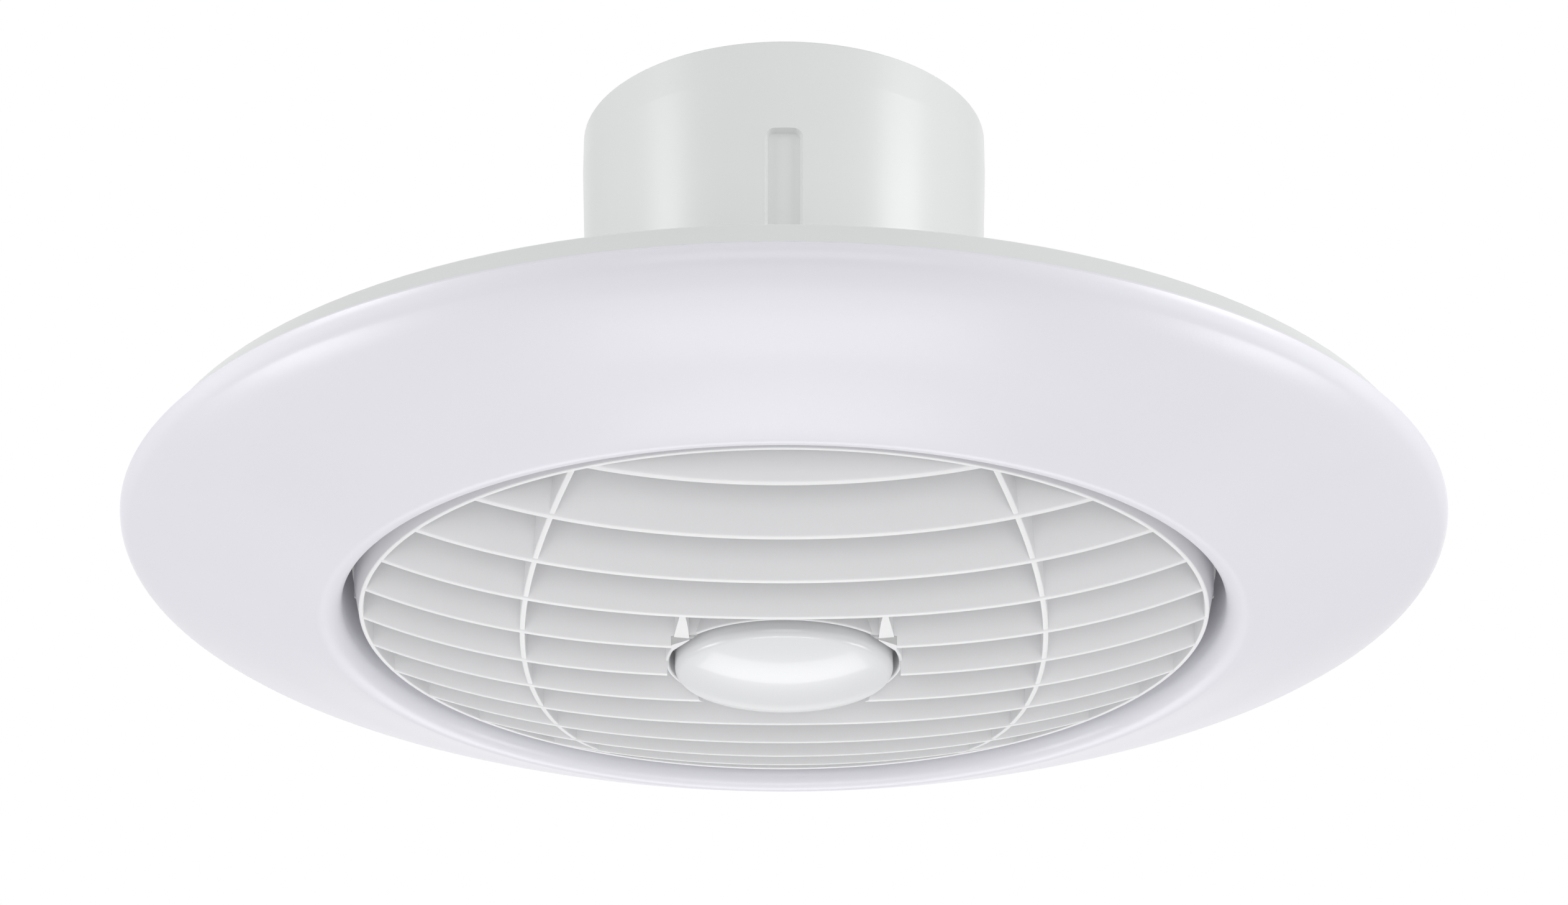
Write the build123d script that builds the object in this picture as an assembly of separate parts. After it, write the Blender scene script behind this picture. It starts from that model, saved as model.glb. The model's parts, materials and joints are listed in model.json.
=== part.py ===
from build123d import *
import math
import os

# Round ceiling extractor fan with a light ring. Millimetres, +Z up into the duct.
# The origin is on the fan's axis, in the plane of the ceiling.

# ---- driving dimensions ----
SPIGOT_R = 79.5  # male end for a 160 mm duct
SPIGOT_TOP = 164.0
SPIGOT_LAND = 16.0  # straight length that the duct slides over
SPIGOT_FOOT_R = 74.0
SPIGOT_WALL = 2.5
CHANNEL_TOP = 125.6
CHANNEL_WIDTH = 12.0
CHANNEL_DEPTH = 2.75
CHANNEL_CORNER = 2.5

PLATE_R = 238.3
PLATE_SKIRT_R = 245.5
PLATE_SKIRT_DROP = 10.5
PLATE_THICK = 2.5
CEILING_SCREW_R = 172.0
CEILING_HOLE_R = 2.25
CABLE_Y = -97.0
CABLE_R = 3.75

RING_R = 247.5
RING_EDGE_Z = -12.3  # height of the light ring's widest edge
RING_WALL = 2.2
THROAT_TOP = -12.0  # top of the wall round the light ring's throat
# the ring's underside from that edge to its throat: radius and turn of each arc, hollow ones negative
RING_ARCS = [
    (8.5, 55.0), (40.0, 12.0), (405.0, 3.5), (199.6, 3.0), (-199.6, -6.0), (199.6, 3.0), (7.1, 109.5),
]

GRILLE_R = 158.4
GRILLE_RIM_Z = -42.2
GRILLE_DOME = 20.5  # how far the middle stands below the rim
GRILLE_DOME_POWER = 2.7
LOUVRE_COUNT = 11
LOUVRE_PITCH = 27.0
LOUVRE_TILT = 21.0
LOUVRE_DEPTH = 17.0
LOUVRE_THICK = 1.8
FLARE_R = 160.5  # the rim widens to this below the bayonet ring
FLARE_TOP = -26.6
LUG_TOP = -17.9
RIB_X = 96.7
RIB_BEND_R = 406.0
RIB_THICK = 2.0
COLLAR_R = 44.1
COLLAR_RIM_Z = -57.5
CAP_R = 40.6
CAP_EDGE_Z = -61.5
CAP_BOTTOM_Z = -69.4

FAN_THROAT_R = 66.9
BELL_R = 155.6
BELL_DROP = 22.0
IMPELLER_R = 65.4
HUB_R = 30.0
SHAFT_R = 2.0
BLADES = 7
VANES = 5

HINGE_Y = 5.0
HINGE_Z = 88.0
PIN_R = 1.5
FLAP_R = 69.5

TWIST = 12.0  # bayonet turn of the grille and of the light ring, in degrees

UNDERSIDE = -PLATE_THICK
LEAD_R = 70.1  # where the motor's lead runs up, between the throat and the spigot
LEDGE_LOW = (46.0, 50.0)  # carries the motor mount
LEDGE_HIGH = (78.0, 82.0)  # carries the shutter


# ---- building blocks ----
def tube(r_in, r_out, low, high):
    """A ring, or a disc when r_in is 0, between two heights."""
    body = Cylinder(r_out, high - low)
    if r_in:
        body -= Cylinder(r_in, high - low)
    return Pos(0, 0, (low + high) / 2) * body


def turned(points):
    """A closed outline of (radius, height) points turned about the axis."""
    outline = Polyline(*[(r, 0, z) for r, z in points], close=True)
    return revolve(make_face(outline), Axis.Z)


def sector(r_in, r_out, low, high, start, end):
    """Part of a ring between two angles in degrees, counted from +X."""
    corners = [(r_in, 0, low), (r_out, 0, low), (r_out, 0, high), (r_in, 0, high)]
    face = make_face(Polyline(*corners, close=True))
    return Rot(0, 0, start) * revolve(face, Axis.Z, end - start)


def rod(r, x, y, low, high):
    """An upright round bar at a place."""
    return Pos(x, y, (low + high) / 2) * Cylinder(r, high - low)


def block(x_range, y_range, z_range):
    """A box between two corners."""
    low = [min(span) for span in (x_range, y_range, z_range)]
    size = [abs(b - a) for a, b in (x_range, y_range, z_range)]
    middle = [a + s / 2 for a, s in zip(low, size)]
    return Pos(*middle) * Box(*size)


def around(radius, count, start=0.0):
    """Places spread evenly on a circle, as (x, y)."""
    angles = [math.radians(start + 360 * i / count) for i in range(count)]
    return [(radius * math.cos(a), radius * math.sin(a)) for a in angles]


def screw(length, shank_r, head_r, head_h):
    """A cross-head screw that points up, with the underside of its head at 0."""
    head = Pos(0, 0, -head_h / 2) * Cylinder(head_r, head_h)
    head = fillet(head.edges().group_by(Axis.Z)[0], head_h * 0.45)
    body = head + Pos(0, 0, length / 2) * Cylinder(shank_r, length)
    slot = Box(head_r * 1.1, head_r * 0.26, head_h)
    return body - Pos(0, 0, -head_h) * (slot + Rot(0, 0, 90) * slot)


def screws(places, seat_z, length, shank_r=1.4, head_r=2.8, head_h=1.9, down=False):
    """One screw per place; down turns them over to point down."""
    one = screw(length, shank_r, head_r, head_h)
    if down:
        one = Rot(180, 0, 0) * one
    return Compound([Pos(x, y, seat_z) * one for x, y in places])


def holes(places, r, low, high):
    """Round cutters at the given places."""
    return [rod(r, x, y, low, high) for x, y in places]


def lead(points, r, bend):
    """A short wire along straight runs joined by arcs."""
    path = FilletPolyline(*points, radius=bend)
    start = Plane(origin=path @ 0, z_dir=path % 0)
    return sweep(start * Circle(r), path=path)


# ---- where the fasteners sit ----
FLANGE_SCREWS = around(81.0, 6, 30)
BELL_SCREWS = around(140.0, 4, 45)
BAYONET_SCREWS = around(154.8, 6, 30)
BOARD_SCREWS = around(187.0, 6, 30)
CATCH_SCREWS = around(227.8, 4, 45)
MOUNT_SCREWS = around(71.0, 4, 45)
SHUTTER_SCREWS = around(70.3, 4, 45)
DRIVER_SCREWS = [(103.0, 0.0), (149.0, 0.0)]
TERMINAL_SCREWS = [(-21.5, -128.0), (21.5, -128.0)]
CLAMP_SCREWS = [(-9.0, -110.0), (9.0, -110.0)]
PILOT_DEPTH = 1.8


# ---- shell ----
def spigot_slope():
    """How much the spigot's wall leans out for each millimetre of height."""
    return (SPIGOT_R - SPIGOT_FOOT_R) / (SPIGOT_TOP - SPIGOT_LAND)


def channel_form(width, extra, inward, outward, taper):
    """A rounded upright bar along the floor of the cable channel."""
    slope = spigot_slope()
    lean = math.hypot(1, slope)
    floor = Plane(
        origin=(0, -(SPIGOT_FOOT_R - CHANNEL_DEPTH), 0),
        x_dir=(1, 0, 0),
        z_dir=(0, -1 / lean, -slope / lean),
    )
    height = CHANNEL_TOP + extra
    start = 30.0
    sketch = Pos(0, (height - start) / 2) * Rectangle(width, height + start)
    tops = sketch.vertices().group_by(Axis.Y)[-1]
    sketch = fillet(tops, CHANNEL_CORNER + extra / 2)
    sketch = Pos(0, 0, -inward) * sketch
    return extrude(floor * sketch, amount=inward + outward, taper=taper)


def spigot_housing():
    """Tapered duct spigot with its foot flange, two ledges and the cable channel."""
    shoulder = SPIGOT_TOP - SPIGOT_LAND
    foot = UNDERSIDE - 2.5
    outer = turned([
        (0, foot), (86, foot), (86, UNDERSIDE), (SPIGOT_FOOT_R, UNDERSIDE), (SPIGOT_FOOT_R, 0),
        (SPIGOT_R, shoulder), (SPIGOT_R, SPIGOT_TOP - 0.8), (SPIGOT_R - 0.8, SPIGOT_TOP), (0, SPIGOT_TOP),
    ])
    foot_in = SPIGOT_FOOT_R - SPIGOT_WALL
    bore = turned([
        (0, foot), (foot_in, foot), (foot_in, 0),
        (SPIGOT_R - SPIGOT_WALL, shoulder), (SPIGOT_R - SPIGOT_WALL, SPIGOT_TOP), (0, SPIGOT_TOP),
    ])
    shell = outer - bore
    shell += channel_form(CHANNEL_WIDTH + 5, 2.5, 2.5, 6, 0) & (outer - tube(0, 60, -10, SPIGOT_TOP + 1))
    shell += tube(FAN_THROAT_R, 90, *LEDGE_LOW) & outer
    shell += tube(FAN_THROAT_R, 90, *LEDGE_HIGH) & outer
    shell -= channel_form(CHANNEL_WIDTH, 0, 0, 8, -24) - tube(0, 120, -40, 0)
    shell -= tube(0, foot_in, foot - 1, 0)
    cuts = holes(FLANGE_SCREWS, 1.6, foot - 1, UNDERSIDE + 1)
    cuts += holes(MOUNT_SCREWS, 1.25, LEDGE_LOW[1] - 3.5, LEDGE_LOW[1] + 1)
    cuts += holes(SHUTTER_SCREWS, 1.25, LEDGE_HIGH[1] - 3.5, LEDGE_HIGH[1] + 1)
    cuts.append(rod(1.6, LEAD_R, 0, LEDGE_LOW[0] - 1, LEDGE_LOW[1] + 1))
    cuts.append(block((LEAD_R - 1, 88), (-1.8, 1.8), (foot - 1, 1.5)))
    for cut in cuts:
        shell -= cut
    return shell


def back_plate():
    """Ceiling plate with a conical skirt, screw holes and a gasket groove."""
    skirt = 2.4
    slope = (PLATE_SKIRT_R - PLATE_R) / PLATE_SKIRT_DROP
    inner_top = PLATE_R + slope * PLATE_THICK - skirt
    plate = turned([
        (SPIGOT_FOOT_R + 0.4, 0), (PLATE_R - 0.8, 0), (PLATE_R + 0.2, -0.8),
        (PLATE_SKIRT_R, -PLATE_SKIRT_DROP), (PLATE_SKIRT_R - skirt, -PLATE_SKIRT_DROP),
        (inner_top, UNDERSIDE), (SPIGOT_FOOT_R + 0.4, UNDERSIDE),
    ])
    plate -= tube(226, 233, -1.2, 1)
    cuts = holes(around(CEILING_SCREW_R, 4, 45), CEILING_HOLE_R, UNDERSIDE - 1, 1)
    cuts += holes([(0, CABLE_Y)], 7.0, UNDERSIDE - 1, 1)
    cuts += holes([(0, CABLE_Y)], 9.2, -1.5, 1)
    pilots = FLANGE_SCREWS + BELL_SCREWS + BAYONET_SCREWS + BOARD_SCREWS + DRIVER_SCREWS
    cuts += holes(pilots + TERMINAL_SCREWS + CLAMP_SCREWS, 1.45, UNDERSIDE - 1, UNDERSIDE + PILOT_DEPTH)
    for cut in cuts:
        plate -= cut
    for x, y in CATCH_SCREWS:
        plate -= rod(1.45, x, y, UNDERSIDE - 1, UNDERSIDE + 1.1)
    return plate


def ceiling_gasket():
    """Foam strip that lies flush in the plate's groove."""
    return tube(226.1, 232.9, -1.2, 0)


def cable_grommet():
    """Rubber grommet with a groove round the plate's edge and a bore for the mains cable."""
    barrel = 6.95
    outline = [
        (CABLE_R, -6.0), (8.2, -6.0), (9.0, -5.2), (9.0, UNDERSIDE), (barrel, UNDERSIDE),
        (barrel, -1.5), (8.8, -1.5), (8.4, 0), (CABLE_R, 0),
    ]
    return Pos(0, CABLE_Y, 0) * turned(outline)


# ---- air path ----
def inlet_bellmouth():
    """Trumpet from the grille up to the fan's throat, hung from the plate on four posts."""
    wall = 1.6
    span = BELL_R - FAN_THROAT_R
    ends = [(0, 0, -1), (1, 0, 0)]

    def flare(offset):
        """A quarter of an ellipse from the throat's wall to the bell's rim."""
        points = []
        for angle in (0, 22.5, 45, 67.5, 90):
            turn = math.radians(angle)
            reach = (span - offset) * math.cos(turn)
            points.append((BELL_R - reach, 0, -(BELL_DROP - offset) * math.sin(turn)))
        return Spline(*points, tangents=ends)

    top = LEDGE_LOW[0] - 0.4
    inner, outer = flare(0), flare(wall)
    rim = Line(inner @ 1, outer @ 1)
    throat = Polyline(outer @ 0, (FAN_THROAT_R + wall, 0, top), (FAN_THROAT_R, 0, top), inner @ 0)
    bell = revolve(make_face([inner, rim, outer, throat]), Axis.Z)
    post_foot = -BELL_DROP + 1.2
    for x, y in BELL_SCREWS:
        bell += rod(4.0, x, y, post_foot, UNDERSIDE)
        bell -= rod(1.6, x, y, -BELL_DROP - 2, UNDERSIDE + 1)
    return bell


def bayonet_ring():
    """Ring that carries the grille: an inward flange under the plate and four L-shaped slots."""
    low = -26.0
    ring = tube(159.3, 161.5, low, UNDERSIDE) + tube(152.0, 161.5, UNDERSIDE - 2.5, UNDERSIDE)
    for quarter in range(4):
        turn = 90 * quarter
        ring -= sector(158, 163, -24.0, -17.6, turn - 3.4, turn + TWIST + 3.4)
        ring -= sector(158, 163, low - 1, -23.0, turn + TWIST - 3.4, turn + TWIST + 3.4)
    for cut in holes(BAYONET_SCREWS, 1.6, UNDERSIDE - 4, UNDERSIDE + 1):
        ring -= cut
    ring -= Pos(160, 0, -9.5) * Rot(0, 90, 0) * Cylinder(2.0, 8)
    return ring


# ---- grille and cap ----
def dome_z(r):
    """Height of the grille's lower face at a radius."""
    share = min(r / (GRILLE_R - 1.2), 1.0)
    return GRILLE_RIM_Z - GRILLE_DOME * (1 - share**GRILLE_DOME_POWER)


def dome_layer(lift_low, lift_high, r_out):
    """Space between two copies of the dome, one above the other."""
    steps = [0, 35, 70, 100, 125, 143, r_out]
    low = [(r, 0, dome_z(r) + lift_low) for r in steps]
    high = [(r, 0, dome_z(r) + lift_high) for r in steps]
    edges = [
        Spline(*low), Line(low[-1], high[-1]), Spline(*high[::-1]), Line(high[0], low[0]),
    ]
    return revolve(make_face(edges), Axis.Z)


GUSSET_PLAN = [
    (36.0, -53.5), (37.0, -53.5), (41.5, -20.0), (41.4, -15.0), (34.6, -26.0), (34.8, -36.0), (35.1, -43.0),
]


def gusset(side):
    """Web that widens from a louvre to the central collar."""
    outline = Polyline(*[(side * x, y, COLLAR_RIM_Z - 1.0) for x, y in GUSSET_PLAN], close=True)
    return extrude(make_face(outline), amount=12, dir=(0, 0, 1))


def louvre_grille():
    """One moulding: rim, eleven tilted louvres, two bowed ribs, gussets and the cap's collar."""
    layer = dome_layer(0, LOUVRE_DEPTH, GRILLE_R - 1.6)
    middle = (LOUVRE_COUNT + 1) / 2
    foot = GRILLE_RIM_Z - GRILLE_DOME
    rim = turned([
        (GRILLE_R - 1.7, GRILLE_RIM_Z + 0.4), (GRILLE_R - 1.2, GRILLE_RIM_Z),
        (GRILLE_R - 0.6, GRILLE_RIM_Z + 0.1), (GRILLE_R, GRILLE_RIM_Z + 1.0),
        (FLARE_R, -32.0), (FLARE_R, FLARE_TOP), (GRILLE_R, FLARE_TOP), (GRILLE_R, LUG_TOP),
        (GRILLE_R - 2, LUG_TOP), (GRILLE_R - 2, GRILLE_RIM_Z + 2),
    ])
    grille = rim
    collar = tube(0, COLLAR_R - 0.7, -90, 0)
    for number in range(1, LOUVRE_COUNT + 1):
        slab = Box(2 * GRILLE_R, LOUVRE_THICK, 80)
        place = Pos(0, LOUVRE_PITCH * (number - middle), foot) * Rot(LOUVRE_TILT, 0, 0)
        hollow = collar
        if number == middle - 1:  # cut short under the gussets
            hollow = collar + block((-41.3, 41.3), (-45, -15), (-70, COLLAR_RIM_Z - 1.0))
        elif number == middle + 1:  # reaches in to the cap under the collar
            hollow = tube(0, CAP_R + 0.6, -90, COLLAR_RIM_Z) + tube(0, COLLAR_R - 0.7, COLLAR_RIM_Z, 0)
        grille += (place * slab) & (layer - hollow)
    rib_layer = dome_layer(0.5, LOUVRE_DEPTH - 2, GRILLE_R - 1.6)
    for side in (1, -1):
        arc = tube(RIB_BEND_R - RIB_THICK / 2, RIB_BEND_R + RIB_THICK / 2, -90, 0)
        right = block((60, 130), (-150, 150), (-90, 0))
        wall = (Pos(RIB_X - RIB_BEND_R, 0, 0) * arc) & right & rib_layer
        grille += wall if side > 0 else Rot(0, 0, 180) * wall
    grille += tube(COLLAR_R - 1.4, COLLAR_R, COLLAR_RIM_Z, -40.0)
    grille += tube(12.2, COLLAR_R - 0.7, -48.0, -46.0) + tube(12.2, 14.6, -48.0, -38.0)
    for side in (1, -1):
        grille += gusset(side) - tube(0, COLLAR_R - 0.7, -90, 0)
    for quarter in range(4):
        turn = 90 * quarter
        grille += sector(GRILLE_R - 1, 161.2, -23.7, -18.0, turn - 3, turn + 3)
        tab = [(GRILLE_R - 0.5, -33.0), (161.4, -30.6), (161.4, FLARE_TOP), (GRILLE_R - 0.5, FLARE_TOP)]
        face = make_face(Polyline(*[(r, 1.0, z) for r, z in tab], close=True))
        grille += Rot(0, 0, turn) * extrude(face, amount=2, dir=(0, -1, 0))
    return grille


def centre_cap():
    """Glossy domed cap with a split plug that grips the collar's bore."""
    wall, round_r = 2.2, 3.5
    rise = CAP_EDGE_Z - CAP_BOTTOM_Z
    dome_r = (CAP_R**2 + rise**2) / (2 * rise)

    def dome(r, lift):
        return (r, 0, CAP_BOTTOM_Z + lift + dome_r - math.sqrt(dome_r**2 - r**2))

    side = CAP_R - wall
    top = -50.0
    edges = [
        ThreePointArc(dome(0, 0), dome(CAP_R / 2, 0), dome(CAP_R, 0)),
        Polyline(dome(CAP_R, 0), (CAP_R, 0, top), (side, 0, top), dome(side, wall)),
        ThreePointArc(dome(side, wall), dome(side / 2, wall), dome(0, wall)),
        Line(dome(0, wall), dome(0, 0)),
    ]
    shell = revolve(make_face(edges), Axis.Z)
    rims = [e for e in shell.edges() if abs(e.length - 2 * math.pi * CAP_R) < 0.5 and e.center().Z < -60]
    shell = fillet(rims, round_r)
    plug = tube(9.6, 12.0, CAP_BOTTOM_Z + 1.5, -37.0)
    for turn in (0, 90):
        plug -= Rot(0, 0, turn) * block((-20, 20), (-1, 1), (-50, -30))
    return shell + plug


# ---- light ring ----
def step(place, distance, heading):
    """The point at a distance towards the axis from a place, for a line heading this way."""
    angle = math.radians(heading)
    return (place[0] - distance * math.cos(angle), 0, place[2] + distance * math.sin(angle))


def ring_arcs(inset):
    """The ring's underside as arcs that run on from each other, moved in by a distance."""
    heading = 0.0  # 0 points down and 90 points in towards the axis
    here = (RING_R - inset, 0, RING_EDGE_Z)
    edges = []
    for radius, turn in RING_ARCS:
        reach = radius - inset
        centre = step(here, reach, heading)
        half_way = step(centre, -reach, heading + turn / 2)
        heading += turn
        end = step(centre, -reach, heading)
        edges.append(ThreePointArc(here, half_way, end))
        here = end
    return edges


def ring_diffuser():
    """Opal trough of the light ring, with a tongue and four lugs inside its outer edge."""
    wall = RING_WALL
    outer, inner = ring_arcs(0), ring_arcs(wall)
    throat, throat_in = outer[-1] @ 1, inner[-1] @ 1
    edge, edge_in = outer[0] @ 0, inner[0] @ 0
    tongue = [(246.2, -10.9), (240.0, -10.9), (240.0, -7.0), (238.2, -7.0), (238.2, RING_EDGE_Z)]
    corners = [(r, 0, z) for r, z in tongue]
    edges = outer + inner + [
        Polyline(throat, (throat.X, 0, THROAT_TOP), (throat_in.X, 0, THROAT_TOP), throat_in),
        Polyline(edge, *corners, edge_in),
    ]
    ring = revolve(make_face(edges), Axis.Z)
    for quarter in range(4):
        turn = 90 * quarter + 45
        ring += sector(235.0, 239.0, -9.6, -7.2, turn - 2.5, turn + 2.5)
    return ring


def diffuser_catches():
    """Four hooks under the plate that hold the light ring's lugs."""
    hook = sector(231, 233, -13.2, UNDERSIDE, 42.5, 47.5) + sector(231, 237, -13.2, -10.2, 42.5, 47.5)
    hook += sector(224, 233, UNDERSIDE - 2.0, UNDERSIDE, 42.5, 47.5)
    x, y = CATCH_SCREWS[0]
    hook -= rod(1.6, x, y, UNDERSIDE - 4, UNDERSIDE + 1)
    return Compound([Rot(0, 0, 90 * i) * hook for i in range(4)])


BOARD_LOW = UNDERSIDE - 1.6


def led_board():
    """Ring-shaped circuit board that lies against the plate."""
    board = tube(181, 223, BOARD_LOW, UNDERSIDE)
    for cut in holes(BOARD_SCREWS, 1.6, BOARD_LOW - 1, UNDERSIDE + 1):
        board -= cut
    return board


def led_chips():
    """Two circles of light-emitting chips on the board."""
    chip = Box(3.5, 2.8, 0.8)
    rows = []
    for radius, count in ((198.0, 36), (214.0, 40)):
        for i in range(count):
            rows.append(Rot(0, 0, 360 * i / count) * Pos(radius, 0, BOARD_LOW - 0.4) * chip)
    return Compound(rows)


# ---- fan ----
def impeller():
    """Hub with a rounded nose and seven twisted blades."""
    low, high = 5.5, 43.0
    hub = tube(0, HUB_R, low, high)
    hub = fillet(hub.edges().group_by(Axis.Z)[0], 2.8)
    hub -= tube(0, 27.05, low + 2.4, high + 1)
    hub -= tube(0, SHAFT_R + 0.02, low + 1.0, high)
    root = Plane.YZ.offset(22) * Rot(0, 0, 40) * Rectangle(46, 2.8)
    tip = Plane.YZ.offset(67) * Rot(0, 0, 27) * Rectangle(56, 1.8)
    blade = Pos(0, 0, 25) * loft([root, tip])
    blade &= tube(28.4, IMPELLER_R, 0, 60)
    for i in range(BLADES):
        hub += Rot(0, 0, 360 * i / BLADES) * blade
    return hub


def rotor_can():
    """Steel cup that carries the magnets and the shaft."""
    can = tube(SHAFT_R, 27.0, 8.0, 9.2) + tube(25.9, 27.0, 8.0, 41.0) + tube(SHAFT_R, 5.0, 8.0, 12.0)
    return can


def rotor_magnets():
    """Eight curved magnets inside the can."""
    return Compound([sector(23.3, 25.9, 14, 38, 45 * i + 1, 45 * i + 44) for i in range(8)])


def motor_shaft():
    """Steel shaft, pressed into the can."""
    return rod(SHAFT_R, 0, 0, 8.0, 49.4)


def shaft_circlip():
    """Split ring that keeps the shaft in its bearings."""
    return tube(SHAFT_R, 3.5, 47.7, 48.3) - block((0, 5), (-0.9, 0.9), (47, 49))


def bearing(low):
    """Small ball bearing, shown as one ring with a groove on each face."""
    race = tube(SHAFT_R + 0.04, 4.98, low, low + 4)
    groove = tube(2.9, 4.1, -0.3, 0.3)
    return race - Pos(0, 0, low) * groove - Pos(0, 0, low + 4) * groove


def motor_mount():
    """Hub plate, bearing tube, guide vanes and outer ring in one casting."""
    seat = LEDGE_LOW[1]
    mount = tube(0, HUB_R, seat, seat + 3) + tube(4.2, 7.0, 12.6, seat + 1)
    mount -= tube(0, 5.0, 12.0, 17.0) + tube(0, 5.0, 43.0, 49.8)
    ring = tube(FAN_THROAT_R, 69.0, seat, seat + 12) + tube(FAN_THROAT_R, 73.0, seat, seat + 2.5)
    ring -= block((-10, 10), (-80, -70.2), (seat - 1, seat + 13))
    ring -= block((68.0, 76), (-2, 2), (seat - 1, seat + 13))
    vane = Rot(24, 0, 0) * Box(60, 2.0, 20)
    vane = Pos(48, 0, seat + 6.5) * vane
    vane &= tube(HUB_R - 1.5, FAN_THROAT_R + 0.8, seat, seat + 12)
    mount += ring + tube(HUB_R - 2.0, HUB_R, seat, seat + 5)
    for i in range(VANES):
        mount += Rot(0, 0, 36 + 360 * i / VANES) * vane
    for cut in holes(MOUNT_SCREWS, 1.4, seat - 1, seat + 4):
        mount -= cut
    return mount


def stator_core():
    """Nine-tooth laminated core on the bearing tube."""
    low, high = 18.0, 34.0
    core = tube(7.0, 11.0, low, high)
    for i in range(9):
        turn = 40 * i
        tooth = block((10, 20), (-2, 2), (low, high))
        core += Rot(0, 0, turn) * tooth + sector(19.2, 22.4, low, high, turn - 17, turn + 17)
    return core


def stator_windings():
    """Nine copper coils, one round each tooth."""
    coil = block((12, 18.8), (-4, 4), (15.6, 36.4)) - block((11, 20), (-2.05, 2.05), (17.95, 34.05))
    coil = fillet(coil.edges().filter_by(Axis.X).group_by(Axis.Z)[-1], 1.5)
    return Compound([Rot(0, 0, 40 * i) * coil for i in range(9)])


def motor_board():
    """Round control board on the hub plate."""
    seat = LEDGE_LOW[1] + 3
    posts = [rod(1.8, x, y, seat, seat + 2) for x, y in around(20, 3, 90)]
    board = tube(0, 24, seat + 2, seat + 3.6)
    for post in posts:
        board += post
    return board


def motor_cover():
    """Closed cup over the control board."""
    seat = LEDGE_LOW[1] + 3
    cover = tube(0, 27.6, seat, seat + 11)
    cover = fillet(cover.edges().group_by(Axis.Z)[-1], 3)
    return cover - tube(0, 25.8, seat - 1, seat + 9.2)


# ---- backdraught shutter ----
SEAT_Z = HINGE_Z - 3.1
POST_X = (-60.0, 0.0, 60.0)


def shutter_frame():
    """Seat ring, crossbar and three posts that hold the hinge pins."""
    base = LEDGE_HIGH[1]
    frame = tube(66.9, 74.0, base, SEAT_Z)
    frame += block((-69, 69), (-9, 9), (base - 2, base)) & tube(0, 66.6, base - 3, SEAT_Z)
    frame += block((-69, 69), (-9, 9), (base, SEAT_Z)) & tube(0, 68, base - 3, SEAT_Z)
    frame -= block((-12, 12), (-80, -71.3), (base - 1, SEAT_Z + 1))
    for x in POST_X:
        frame += block((x - 2, x + 2), (-8, 8), (SEAT_Z - 1, HINGE_Z + 3))
    for side in (1, -1):
        frame -= Pos(0, side * HINGE_Y, HINGE_Z) * Rot(0, 90, 0) * Cylinder(PIN_R + 0.01, 126)
    for cut in holes(SHUTTER_SCREWS, 1.4, base - 1, SEAT_Z + 1):
        frame -= cut
    return frame


def shutter_pin(side):
    """Steel hinge pin through the three posts."""
    return Pos(0, side * HINGE_Y, HINGE_Z) * Rot(0, 90, 0) * Cylinder(PIN_R, 125.6)


def shutter_flap(side):
    """Half-round flap with four knuckles on its pin."""
    low, high = SEAT_Z + 0.4, SEAT_Z + 2.0
    flap = tube(0, FLAP_R, low, high) & block((-80, 80), (HINGE_Y + 1.2, 80), (low, high))
    for x in POST_X:
        flap -= block((x - 2.8, x + 2.8), (0, HINGE_Y + 7), (low - 1, high + 1))
    knuckle = Rot(0, 90, 0) * Cylinder(2.8, 11)
    for x in (-51, -9, 9, 51):
        flap += Pos(x, HINGE_Y, HINGE_Z) * knuckle
        flap -= Pos(x, HINGE_Y, HINGE_Z) * Rot(0, 90, 0) * Cylinder(PIN_R + 0.06, 12)
    rib = block((-1, 1), (HINGE_Y + 9, 60), (high - 0.2, high + 2.0))
    flap += rib + Pos(30, 0, 0) * rib + Pos(-30, 0, 0) * rib
    flap &= tube(0, FLAP_R, low - 1, high + 5)
    return flap if side > 0 else Rot(0, 0, 180) * flap


# ---- electrics above the bellmouth ----
def driver_case():
    """Light driver's open-topped case, with two ears."""
    case = block((106, 146), (-30, 30), (-15.5, UNDERSIDE - 0.2))
    case = fillet(case.edges().filter_by(Axis.Z), 3)
    case -= block((108, 144), (-28, 28), (-13.7, 0))
    case += block((100, 107), (-4, 4), (UNDERSIDE - 2.0, UNDERSIDE)) - block((106.5, 150), (-9, 9), (-9, 0))
    case += block((145, 150.4), (-4, 4), (UNDERSIDE - 2.0, UNDERSIDE)) - block((100, 145.5), (-9, 9), (-9, 0))
    for x, y in DRIVER_SCREWS:
        case -= rod(1.6, x, y, -9, 0)
    for y in (-20, 20):
        case -= Pos(145, y, -9.5) * Rot(0, 90, 0) * Cylinder(1.4, 8)
        case -= Pos(107, y, -8.0) * Rot(0, 90, 0) * Cylinder(1.4, 8)
    return case


def driver_board():
    """Driver circuit board with its larger components."""
    board = block((109, 143), (-27, 27), (-11.2, -9.8))
    board += block((112, 126), (-24, -12), (-10.0, -4.5)) + block((114, 128), (2, 14), (-10.0, -5.0))
    for x, y in ((136, -20), (136, -8), (134, 18)):
        board += rod(4.0, x, y, -10.0, -4.0)
    return board


def terminal_block():
    """Three-way mains terminal block."""
    base = block((-25, 25), (-133, -123), (UNDERSIDE - 1.8, UNDERSIDE))
    base += block((-17, 17), (-138, -118), (-13.5, UNDERSIDE))
    for x in (-11, 0, 11):
        base -= block((x - 3.2, x + 3.2), (-121.5, -117), (-11.5, -5.5))
        base -= block((x - 3.2, x + 3.2), (-139, -134.5), (-11.5, -5.5))
        base -= rod(2.3, x, -128, -14, -10)
    for x, y in TERMINAL_SCREWS:
        base -= rod(1.6, x, y, UNDERSIDE - 4, UNDERSIDE + 1)
    return base


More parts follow.
